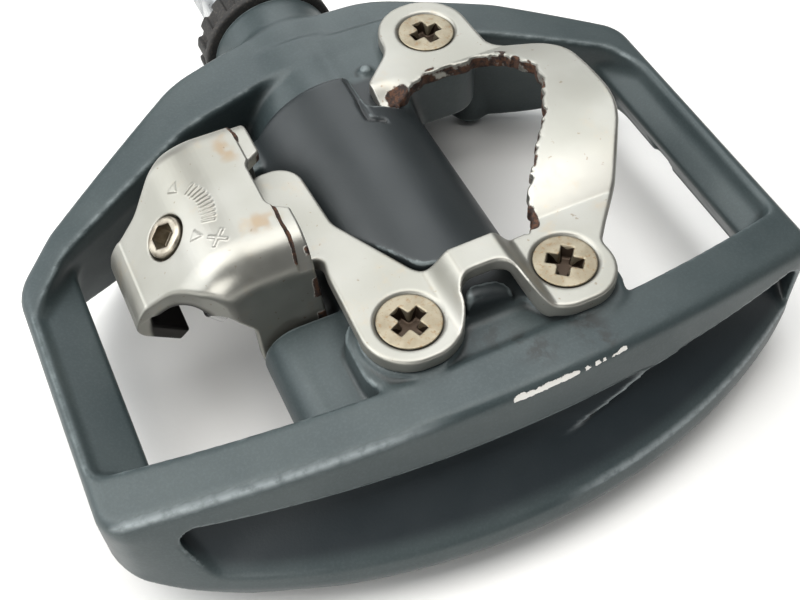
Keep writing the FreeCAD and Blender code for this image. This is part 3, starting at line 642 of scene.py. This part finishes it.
def dial_axes(u, v, degrees, reach):
    """Coordinates outwards and sideways from a point on the dial."""
    c, s = math.cos(math.radians(degrees)), math.sin(math.radians(degrees))
    return u * c + v * s - reach, -u * s + v * c


def jaw_dial(u, v):
    """Raised ticks, pointers and a plus beside the adjuster's hole."""
    marks = np.inf
    for i in range(TICKS):
        out, side = dial_axes(u, v, TICK_FROM - TICK_STEP * i, TICK_OUT)
        marks = np.minimum(marks, np.maximum(np.abs(out) - 0.85, np.abs(side) - 0.13 - 0.04 * out))
    for degrees, reach in POINTERS:
        out, side = dial_axes(u, v, degrees, reach)
        marks = np.minimum(marks, np.maximum(np.abs(side) - 0.75 + 0.5 * out, -out))
    out, side = np.abs(dial_axes(u, v, *PLUS))
    plus = np.minimum(np.maximum(out - 1.3, side - 0.2), np.maximum(side - 1.3, out - 0.2))
    return np.minimum(marks, plus)


def rear_jaw(x, y, z):
    """Bent sheet hood with two side walls, a curl over the spring and a dial."""
    u, v, w = adjuster_axes(x, y, z)
    hood = jaw_hood(x, y, z, 0)
    hood = hood - DIAL_HEIGHT * smooth(jaw_dial(u, v), 0.08, -0.06) * smooth(w, -5, -3)
    hood = hood + STEP_DROP * smooth(x, *JAW_STEP) * smooth(z, 13, 14)
    shell = np.maximum(hood, -jaw_hood(x, y, z, JAW_SHEET))
    inner = [(px, JAW_Y + py, r) for px, py, r in JAW_PLAN]
    outer = [(px, JAW_Y - py, r) for px, py, r in reversed(JAW_PLAN)]
    plan = outline(x, y, inner + outer)
    side = outline(x, z, JAW_SIDE)
    curl = np.maximum(meet(outline(x, z, JAW_CURL), np.abs(y - JAW_Y) - 5.9, 0.4), hood)
    jaw = meet(shell, meet(side, plan, 0.3), 0.4)
    jaw = join(jaw, curl, 0.3)
    jaw = cut(jaw, meet(outline(x, y, JAW_NOTCH), 10 - z), 0.35)
    jaw = cut(jaw, rod(x - PIVOT[0], z - PIVOT[1], y, PIVOT_HOLE[0], -30, 30), 0.2)
    return cut(jaw, meet(np.hypot(u, v) - ADJUSTER_HOLE, np.abs(w) - 6), 0.25)


def jaw_marks(points):
    """Rust along the step and on the claw's tips, stains beside the step, polish on the near fold and painted
    shade inside."""
    x, y, z = points.T
    line = np.abs(x - sum(JAW_STEP) / 2 + 0.25 * rough(y, z, 2, 21))
    crease = smooth(line, 0.42, 0.1) * smooth(z, 13, 15) * smooth(rough(x, y, 4, 22), -0.8, -0.2)
    stain = smooth(np.hypot((x + 18.4) / 1.6, y + 5.2), 2.2, 0.6)
    stain = stain + smooth(np.hypot(x + 18.2, (y - 8.5) / 2), 2.0, 0.5)
    stain = stain * smooth(z, 13, 15) * smooth(rough(x, y, 0.9, 24), -0.7, 0.5)
    tips = smooth(x, -15.6, -14.6) * smooth(z, 16.9, 16.0) * smooth(rough(y, z, 1.5, 23), -0.3, 0.3)
    fold = smooth(y, -7, -10) * smooth(z, 9, 13)
    # Painted shade on the hood's inner face, towards the rear of the jaw.
    inside = smooth(jaw_hood(x, y, z, 0), -0.6 * JAW_SHEET, -0.9 * JAW_SHEET) * smooth(x, -17, -19)
    return {"rust": np.maximum(0.9 * crease, 0.6 * tips), "stain": stain, "polish": fold, "painted_inner_shade": inside}


def adjuster_bolt(x, y, z):
    """Socket-head bolt along z, the top of its head at z = 0.6."""
    solid = join(rod(x, y, z, 2.7, -3.6, -0.1, 0.5), rod(x, y, z, 3.8, -3.6, -2.6, 0.2))
    crest = 0.3 * smooth(helix(x, y, z, ADJUSTER_PITCH), 0.2, 0.8)
    thread = meet(np.hypot(x, y) - 1.7 - crest, between(z, -11.5, -2.2), 0.3)
    solid = join(solid, thread)
    return cut(solid, meet(hexagon(x, y, 1.55), -2.4 - z), 0.12)


# --------------------------------------------------------------- spindle
SPINDLE_RADIUS, SPINDLE_PITCH, SPINDLE_END = 7.14, 1.27, 66
LOCK_TEETH, LOCK_RADIUS = 18, 10.8
GRUB_PITCH = 0.7


def spindle(x, y, z):
    """Threaded end, collar with two flats, journal, taper and stepped shaft."""
    radial = np.hypot(x, z)
    depth = 0.62 * smooth(helix(x, -z, y, SPINDLE_PITCH), 0.1, 0.9) * smooth(y, 55.2, 56.4)
    thread = meet(radial - SPINDLE_RADIUS + depth, between(y, SHOULDER_Y, SPINDLE_END), 0.6)
    collar = meet(radial - 8.8, between(y, 48.6, SHOULDER_Y), 0.4)
    collar = meet(collar, np.abs(x) - 7.5, 0.3)
    journal = meet(radial - 6.0, between(y, 31.2, 49), 0.2)
    taper = np.maximum(radial - np.interp(y, (26.2, 31.2), (4.0, 6.0)), between(y, 26.2, 31.4))
    shaft = meet(radial - 4.0, between(y, -2.6, 26.6))
    tip = meet(radial - 3.5, between(y, -12.4, -2.4), 0.5)
    solid = np.minimum.reduce(np.broadcast_arrays(thread, collar, journal, taper, shaft, tip))
    return cut(solid, meet(hexagon(x, z, 3.0), 57.5 - y, 0.2), 0.35)


def lock_bolt(x, y, z):
    """Flange with teeth cut into its rim, on a sleeve inside the cage's neck."""
    radial = np.hypot(x, z)
    around = np.arctan2(z, x) / (2 * math.pi)
    groove = np.abs(((around * LOCK_TEETH) % 1.0) - 0.5) * 2
    width = 2 * math.pi * 10.4 / LOCK_TEETH
    tooth = np.abs(groove - 1) * width / 2 - 0.9
    flange = meet(radial - LOCK_RADIUS, between(y, 43.2, 48.2), 0.5)
    flange = cut(flange, meet(meet(tooth, 10.0 - radial, 0.3), 44.4 - y, 0.3), 0.25)
    solid = join(flange, meet(radial - 8.15, between(y, 31, 44)))
    solid = cut(solid, meet(radial - 6.9, y - 44.2))
    return cut(solid, meet(radial - 7.9, 44.2 - y), 0.3)


def grip_pin(x, y, z):
    """Grub screw with a hexagon socket; its tip at z = 0, threaded above."""
    depth = 0.18 * smooth(helix(x, y, z, GRUB_PITCH), 0.3, 0.9) * smooth(z, 0.3, 0.6)
    solid = meet(np.hypot(x, y) - 1.6 + depth, between(z, 0, 6), 0.2)
    return cut(solid, meet(hexagon(x, y, 0.75), z - 2), 0.1)


# ------------------------------------------------------------- materials
def add(tree, kind, inputs=None, **settings):
    """New shader node with its sockets set or linked."""
    node = tree.nodes.new("ShaderNode" + kind)
    for key, value in settings.items():
        setattr(node, key, value)
    for key, value in (inputs or {}).items():
        if isinstance(value, bpy.types.NodeSocket):
            tree.links.new(value, node.inputs[key])
        else:
            node.inputs[key].default_value = value
    return node


class Finish:
    """A material in the making, with its pattern in millimetres."""

    def __init__(self, name):
        self.material = bpy.data.materials.new(name)
        self.material.use_nodes = True
        self.tree = self.material.node_tree
        self.tree.nodes.clear()
        where = add(self.tree, "TexCoord").outputs["Object"]
        self.mm = add(self.tree, "VectorMath", {0: where, "Scale": 1000.0}, operation="SCALE").outputs[0]

    def noise(self, size, detail=3.0, stretch=None, roughness=0.55):
        """Noise whose features are about size millimetres across."""
        vector = self.mm
        if stretch:
            vector = add(self.tree, "VectorMath", {0: vector, 1: stretch}, operation="MULTIPLY").outputs[0]
        return add(self.tree, "TexNoise", {"Vector": vector, "Scale": 1.0 / size, "Detail": detail,
                                           "Roughness": roughness}).outputs["Fac"]

    def step(self, value, low, high, start=0.0, end=1.0):
        """Smooth ramp from start at low to end at high."""
        return add(self.tree, "MapRange", {"Value": value, "From Min": low, "From Max": high, "To Min": start,
                                           "To Max": end}, interpolation_type="SMOOTHSTEP").outputs[0]

    def math(self, operation, a, b=0.0):
        """Sum, product or difference of two values."""
        return add(self.tree, "Math", {0: a, 1: b}, operation=operation).outputs[0]

    def mix(self, factor, a, b):
        """Colour a where the factor is 0, b where it is 1."""
        node = add(self.tree, "Mix", data_type="RGBA")
        for socket, value in ((node.inputs[0], factor), (node.inputs[6], a), (node.inputs[7], b)):
            if isinstance(value, bpy.types.NodeSocket):
                self.tree.links.new(value, socket)
            elif isinstance(value, tuple):
                socket.default_value = (*value, 1)
            else:
                socket.default_value = value
        return node.outputs[2]

    def mark(self, name):
        """Attribute that the mesh carries, 0 where it has none."""
        return add(self.tree, "Attribute", attribute_name=name).outputs["Fac"]

    def bump(self, height, distance, before=None):
        """Normal tilted by a height of up to distance millimetres."""
        inputs = {"Height": height, "Distance": distance / 1000, "Strength": 1.0}
        if before is not None:
            inputs["Normal"] = before
        return add(self.tree, "Bump", inputs).outputs[0]

    def finish(self, **inputs):
        """The material, its shader's sockets named with _ for a space."""
        sockets = {key.replace("_", " "): value for key, value in inputs.items()}
        shader = add(self.tree, "BsdfPrincipled", sockets)
        out = add(self.tree, "OutputMaterial")
        self.tree.links.new(shader.outputs[0], out.inputs[0])
        return self.material


def cage_paint():
    """Grey-green paint: speckled, scuffed, worn on its edges and chipped to bare metal, with painted shade in
    the slot and in its concave corners and a painted highlight along its crests."""
    f = Finish("cage_paint")
    bend = f.mark("bend")
    tone = f.mix(f.step(f.noise(14, 3), 0.3, 0.7), (0.034, 0.048, 0.051), (0.047, 0.062, 0.064))
    tone = f.mix(f.step(f.noise(0.35, 2), 0.4, 0.75, 0, 0.14), tone, (0.10, 0.13, 0.135))
    # Painted shade: the slot darkens to near black.
    tone = f.mix(f.math("MULTIPLY", f.mark("slot"), 0.85), tone, (0.009, 0.014, 0.018))
    rub = f.math("MULTIPLY", f.mark("scuff"), f.step(f.noise(2.2, 4, roughness=0.7), 0.42, 0.6))
    tone = f.mix(f.math("MULTIPLY", rub, 0.7), tone, (0.022, 0.022, 0.021))
    tone = f.mix(f.mark("barrel"), tone, (0.020, 0.025, 0.027))
    worn = f.step(f.math("ADD", bend, f.math("MULTIPLY", f.noise(1.4, 4), 0.5)), 0.75, 1.1)
    tone = f.mix(f.math("MULTIPLY", worn, 0.55), tone, (0.19, 0.225, 0.23))
    # Painted highlight: the crests lighten to a pale blue-grey.
    painted_highlight = f.math("MULTIPLY", f.mark("crest"), f.step(f.noise(1.1, 4), 0.2, 0.6, 0.35, 0.9))
    tone = f.mix(painted_highlight, tone, (0.33, 0.37, 0.38))
    # Painted shade: the cage's concave corners darken towards black.
    shade_and_dirt = f.step(bend, -0.15, -0.6)
    tone = f.mix(f.math("MULTIPLY", shade_and_dirt, 0.6), tone, (0.012, 0.013, 0.013))
    ragged = f.math("MULTIPLY", f.math("SUBTRACT", f.noise(0.7, 4, roughness=0.7), 0.5), 1.1)
    chip = f.step(f.math("ADD", f.mark("chip"), ragged), 0.62, 0.70)
    tone = f.mix(chip, tone, (0.80, 0.78, 0.74))
    roughness = f.step(f.noise(6, 4), 0.3, 0.7, 0.38, 0.46)
    grain = f.bump(f.noise(0.32, 2), 0.012)
    return f.finish(Base_Color=tone, Roughness=roughness, Metallic=0.2, Normal=f.bump(chip, -0.12, grain))


def plated_steel():
    """Dull plating: stained, brown in its corners, specked, darkened inside with painted shade, and rusted
    through where the mesh says so."""
    f = Finish("plated_steel")
    tone = f.mix(f.step(f.noise(12, 3), 0.35, 0.7), (0.325, 0.32, 0.285), (0.385, 0.38, 0.35))
    tarnish = f.step(f.noise(5, 5, roughness=0.7), 0.56, 0.72, 0, 0.32)
    tone = f.mix(tarnish, tone, (0.42, 0.33, 0.22))
    corner = f.step(f.mark("bend"), -0.25, -0.8, 0, 0.6)
    tone = f.mix(corner, tone, (0.13, 0.08, 0.05))
    tone = f.mix(f.math("MULTIPLY", f.mark("stain"), 0.55), tone, (0.30, 0.19, 0.09))
    specks = f.step(f.noise(0.9, 2), 0.69, 0.76, 0, 0.5)
    tone = f.mix(specks, tone, (0.17, 0.11, 0.06))
    # Painted shade: the jaw's inner face darkens to near black.
    tone = f.mix(f.mark("painted_inner_shade"), tone, (0.030, 0.028, 0.026))
    flakes = f.math("MULTIPLY", f.math("SUBTRACT", f.noise(0.9, 4, roughness=0.7), 0.5), 0.8)
    rust = f.step(f.math("ADD", f.mark("rust"), flakes), 0.3, 0.5)
    scale = f.step(f.noise(0.7, 4, roughness=0.7), 0.4, 0.65)
    tone = f.mix(rust, tone, f.mix(scale, (0.016, 0.009, 0.007), (0.085, 0.034, 0.015)))
    metal = f.step(rust, 0.1, 0.5, 0.86, 0.0)
    roughness = f.math("ADD", f.step(f.noise(3, 3), 0.3, 0.7, 0.40, 0.46), f.math("MULTIPLY", rust, 0.4))
    roughness = f.math("SUBTRACT", roughness, f.math("MULTIPLY", f.mark("polish"), 0.12))
    grain = f.bump(f.noise(0.3, 2), 0.004)
    pits = f.bump(f.math("MULTIPLY", f.noise(0.5, 4), rust), 0.15, grain)
    return f.finish(Base_Color=tone, Roughness=roughness, Metallic=metal, Normal=pits)


def screw_steel():
    """Yellowish plating with rusty spots and a dark, soiled recess."""
    f = Finish("screw_steel")
    tone = f.mix(f.step(f.noise(3, 3), 0.35, 0.65), (0.24, 0.205, 0.145), (0.31, 0.275, 0.205))
    spots = f.step(f.noise(0.7, 5, roughness=0.7), 0.52, 0.66)
    tone = f.mix(f.math("MULTIPLY", spots, 0.75), tone, (0.22, 0.14, 0.07))
    shade_and_dirt = f.step(f.mark("bend"), -0.02, -0.10)
    tone = f.mix(shade_and_dirt, tone, (0.05, 0.035, 0.025))
    return f.finish(Base_Color=tone, Roughness=0.42, Metallic=0.85, Normal=f.bump(f.noise(0.5, 4), 0.02))


def plain_metal(name, dark, light, roughness, grain=0.02):
    """Metal between two tones."""
    f = Finish(name)
    tone = f.mix(f.step(f.noise(3, 4), 0.35, 0.65), dark, light)
    varied = f.step(f.noise(1.5, 3), 0.3, 0.7, roughness - 0.06, roughness + 0.06)
    return f.finish(Base_Color=tone, Roughness=varied, Metallic=1.0, Normal=f.bump(f.noise(0.3, 2), grain))


def resin(name, dark, light, dust, roughness):
    """Plastic or rubber between two tones, with dust on it."""
    f = Finish(name)
    tone = f.mix(f.step(f.noise(0.8, 5, roughness=0.7), 0.45, 0.7), dark, light)
    tone = f.mix(f.step(f.noise(0.4, 4, roughness=0.7), 0.5, 0.75, 0, 0.35), tone, dust)
    return f.finish(Base_Color=tone, Roughness=roughness, Normal=f.bump(f.noise(0.4, 4), 0.06))


PAINT = cage_paint()
PLATED = plated_steel()
SCREW = screw_steel()
BLACK_STEEL = plain_metal("black_steel", (0.05, 0.048, 0.046), (0.10, 0.095, 0.09), 0.4)
BARE_STEEL = plain_metal("bare_steel", (0.50, 0.50, 0.50), (0.60, 0.60, 0.60), 0.22, 0.004)
DIRTY_STEEL = plain_metal("dirty_steel", (0.22, 0.19, 0.15), (0.50, 0.46, 0.38), 0.36)
SPRING_STEEL = plain_metal("spring_steel", (0.22, 0.22, 0.22), (0.34, 0.33, 0.32), 0.3, 0.006)
SPINDLE_STEEL = plain_metal("spindle_steel", (0.34, 0.35, 0.36), (0.45, 0.46, 0.47), 0.3, 0.006)
LOCK_RESIN = resin("black_resin", (0.010, 0.0095, 0.009), (0.026, 0.022, 0.019), (0.12, 0.10, 0.08), 0.7)
SEAL = resin("seal_rubber", (0.02, 0.02, 0.02), (0.03, 0.03, 0.03), (0.06, 0.05, 0.05), 0.7)
BUSH = resin("bush_resin", (0.70, 0.66, 0.55), (0.76, 0.73, 0.63), (0.6, 0.55, 0.45), 0.5)

# ---------------------------------------------------------------- pieces
SCREW_TURNS = (8, 52, 24)
SCREW_TOP = 11.95


def build(obj, material, body, nodes):
    """Give a piece its material and body, in place of CAD nodes."""
    obj.data.materials.append(material)
    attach(obj, body)
    if nodes:
        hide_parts(*nodes)


cage_piece = skin("cage", (-50, -46.4, -14.2), (50, 45, 14.5), 0.4, cage, marks=cage_marks)
build(cage_piece, PAINT, "pedal", ["pedal_body"])
plate_piece = skin("plate", (-18.4, -31, 8.4), (34, 32, 16.6), 0.2, binding_plate, marks=plate_marks)
build(plate_piece, PLATED, "pedal", ["binding_plate"])
jaw_piece = skin("jaw", (-38, -13.6, -5.6), (-12.4, 15.2, 18.4), 0.115, rear_jaw, relax=1, marks=jaw_marks)
build(jaw_piece, PLATED, "jaw", ["rear_jaw"])
for number, ((x, y), degrees) in enumerate(zip(SCREWS, SCREW_TURNS)):
    turn = Matrix.Translation((x, y, SCREW_TOP)) @ Matrix.Rotation(math.radians(degrees), 4, "Z")
    head = skin("screw_%d" % (number + 1), (-4.8, -4.8, -10.6), (4.8, 4.8, 0.6), 0.12, screw,
                place_matrix=turn)
    build(head, SCREW, "pedal", ["binding_screws"] if number == 0 else [])
bolt = skin("adjuster", (-4.4, -4.4, -12.2), (4.4, 4.4, 1.2), 0.12, adjuster_bolt, place_matrix=ADJUSTER)
build(bolt, DIRTY_STEEL, "adjuster", ["adjuster_bolt"])
axle = skin("axle", (-9.2, -13.2, -9.2), (9.2, 66.8, 9.2), 0.25, spindle)
build(axle, SPINDLE_STEEL, "spindle", ["spindle"])
ring = skin("lock_ring", (-11.4, 30.4, -11.4), (11.4, 48.9, 11.4), 0.22, lock_bolt)
build(ring, LOCK_RESIN, "pedal", ["lock_bolt"])
for number, (x, y) in enumerate(GRIP_PINS):
    seat = Matrix.Translation((x, y, underside(x) - PIN_PROUD))
    pin = skin("grip_pin_%d" % (number + 1), (-2.2, -2.2, -0.5), (2.2, 2.2, 6.5), 0.14, grip_pin,
               place_matrix=seat)
    build(pin, BLACK_STEEL, "pedal", ["grip_pins"] if number == 0 else [])

# Nodes that keep their CAD shape.
CARRIED = {
    "jaw_pivot_pin": BARE_STEEL, "jaw_spring_inner": SPRING_STEEL, "jaw_spring_outer": SPRING_STEEL,
    "tension_plate": BARE_STEEL, "axle_seal": SEAL, "inner_bush": BUSH, "bearing_sleeve": BARE_STEEL,
    "inner_balls": BARE_STEEL, "outer_balls": BARE_STEEL, "inner_cone": BARE_STEEL, "outer_cone": BARE_STEEL,
    "lock_nut": BLACK_STEEL,
}
for node, material in CARRIED.items():
    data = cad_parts[node].data
    data.materials.clear()
    data.materials.append(material)

# ------------------------------------------------------ floor and lights
FLOOR_Z = -13.75


def floor_material():
    """White paper, a little uneven."""
    f = Finish("floor")
    tone = f.mix(f.step(f.noise(60, 4), 0.3, 0.7), (0.86, 0.855, 0.84), (0.90, 0.895, 0.88))
    return f.finish(Base_Color=tone, Roughness=0.7, Normal=f.bump(f.noise(3, 4), 0.05))


bpy.ops.mesh.primitive_plane_add(size=3, location=place(0, 0, FLOOR_Z))
floor = bpy.context.object
floor.name = "floor"
floor.data.materials.append(floor_material())

world = bpy.context.scene.world or bpy.data.worlds.new("world")
bpy.context.scene.world = world
world.use_nodes = True
background = world.node_tree.nodes["Background"]
background.inputs["Color"].default_value = (0.95, 0.98, 1.0, 1)
background.inputs["Strength"].default_value = 0.16


def lamp(name, where, power, width, height, colour):
    """Soft rectangular light, placed in drawing millimetres and aimed at the
    middle of the cleat."""
    data = bpy.data.lights.new(name, "AREA")
    data.shape = "RECTANGLE"
    data.size, data.size_y = width / 1000, height / 1000
    data.energy = power
    data.color = colour
    obj = bpy.data.objects.new(name, data)
    bpy.context.scene.collection.objects.link(obj)
    obj.location = place(*where)
    obj.rotation_mode = "QUATERNION"
    obj.rotation_quaternion = (place(0, 0, 0) - place(*where)).to_track_quat("-Z", "Y")


WARM, COOL = (1, 0.985, 0.96), (0.97, 0.99, 1)
lamp("overhead_left", (-248, 82, 484), 2.3, 420, 420, WARM)
lamp("overhead", (120, -28, 533), 1.2, 300, 300, WARM)
lamp("overhead_back", (137, 247, 473), 1.0, 380, 330, COOL)
lamp("left_back", (-385, 302, 247), 1.15, 420, 330, COOL)
lamp("left", (-467, -27, 275), 1.0, 330, 330, COOL)
lamp("back", (137, 467, 253), 0.6, 330, 260, COOL)
lamp("front_left", (-330, -400, 200), 0.8, 300, 240, WARM)

# ---------------------------------------------------------------- camera
CAMERA_PLACE = place(-41.409, -97.404, 122.599)
AZIMUTH, ELEVATION, ROLL = math.radians(-23.915), math.radians(52.42), math.radians(-1.559)
camera_data = bpy.data.cameras.new("camera")
camera_data.lens = 52.635
camera_data.sensor_width = 36
camera_data.clip_start, camera_data.clip_end = 0.01, 10
camera = bpy.data.objects.new("camera", camera_data)
bpy.context.scene.collection.objects.link(camera)
away = Vector((math.sin(AZIMUTH) * math.cos(ELEVATION), -math.cos(AZIMUTH) * math.cos(ELEVATION),
               math.sin(ELEVATION)))
right = Vector((0, 0, 1)).cross(away).normalized()
up = away.cross(right)
across = right * math.cos(ROLL) + up * math.sin(ROLL)
upward = up * math.cos(ROLL) - right * math.sin(ROLL)
turned = Matrix((across, upward, away)).transposed().to_4x4()
camera.matrix_world = Matrix.Translation(CAMERA_PLACE) @ turned
bpy.context.scene.camera = camera
bpy.context.scene.view_settings.view_transform = "Standard"
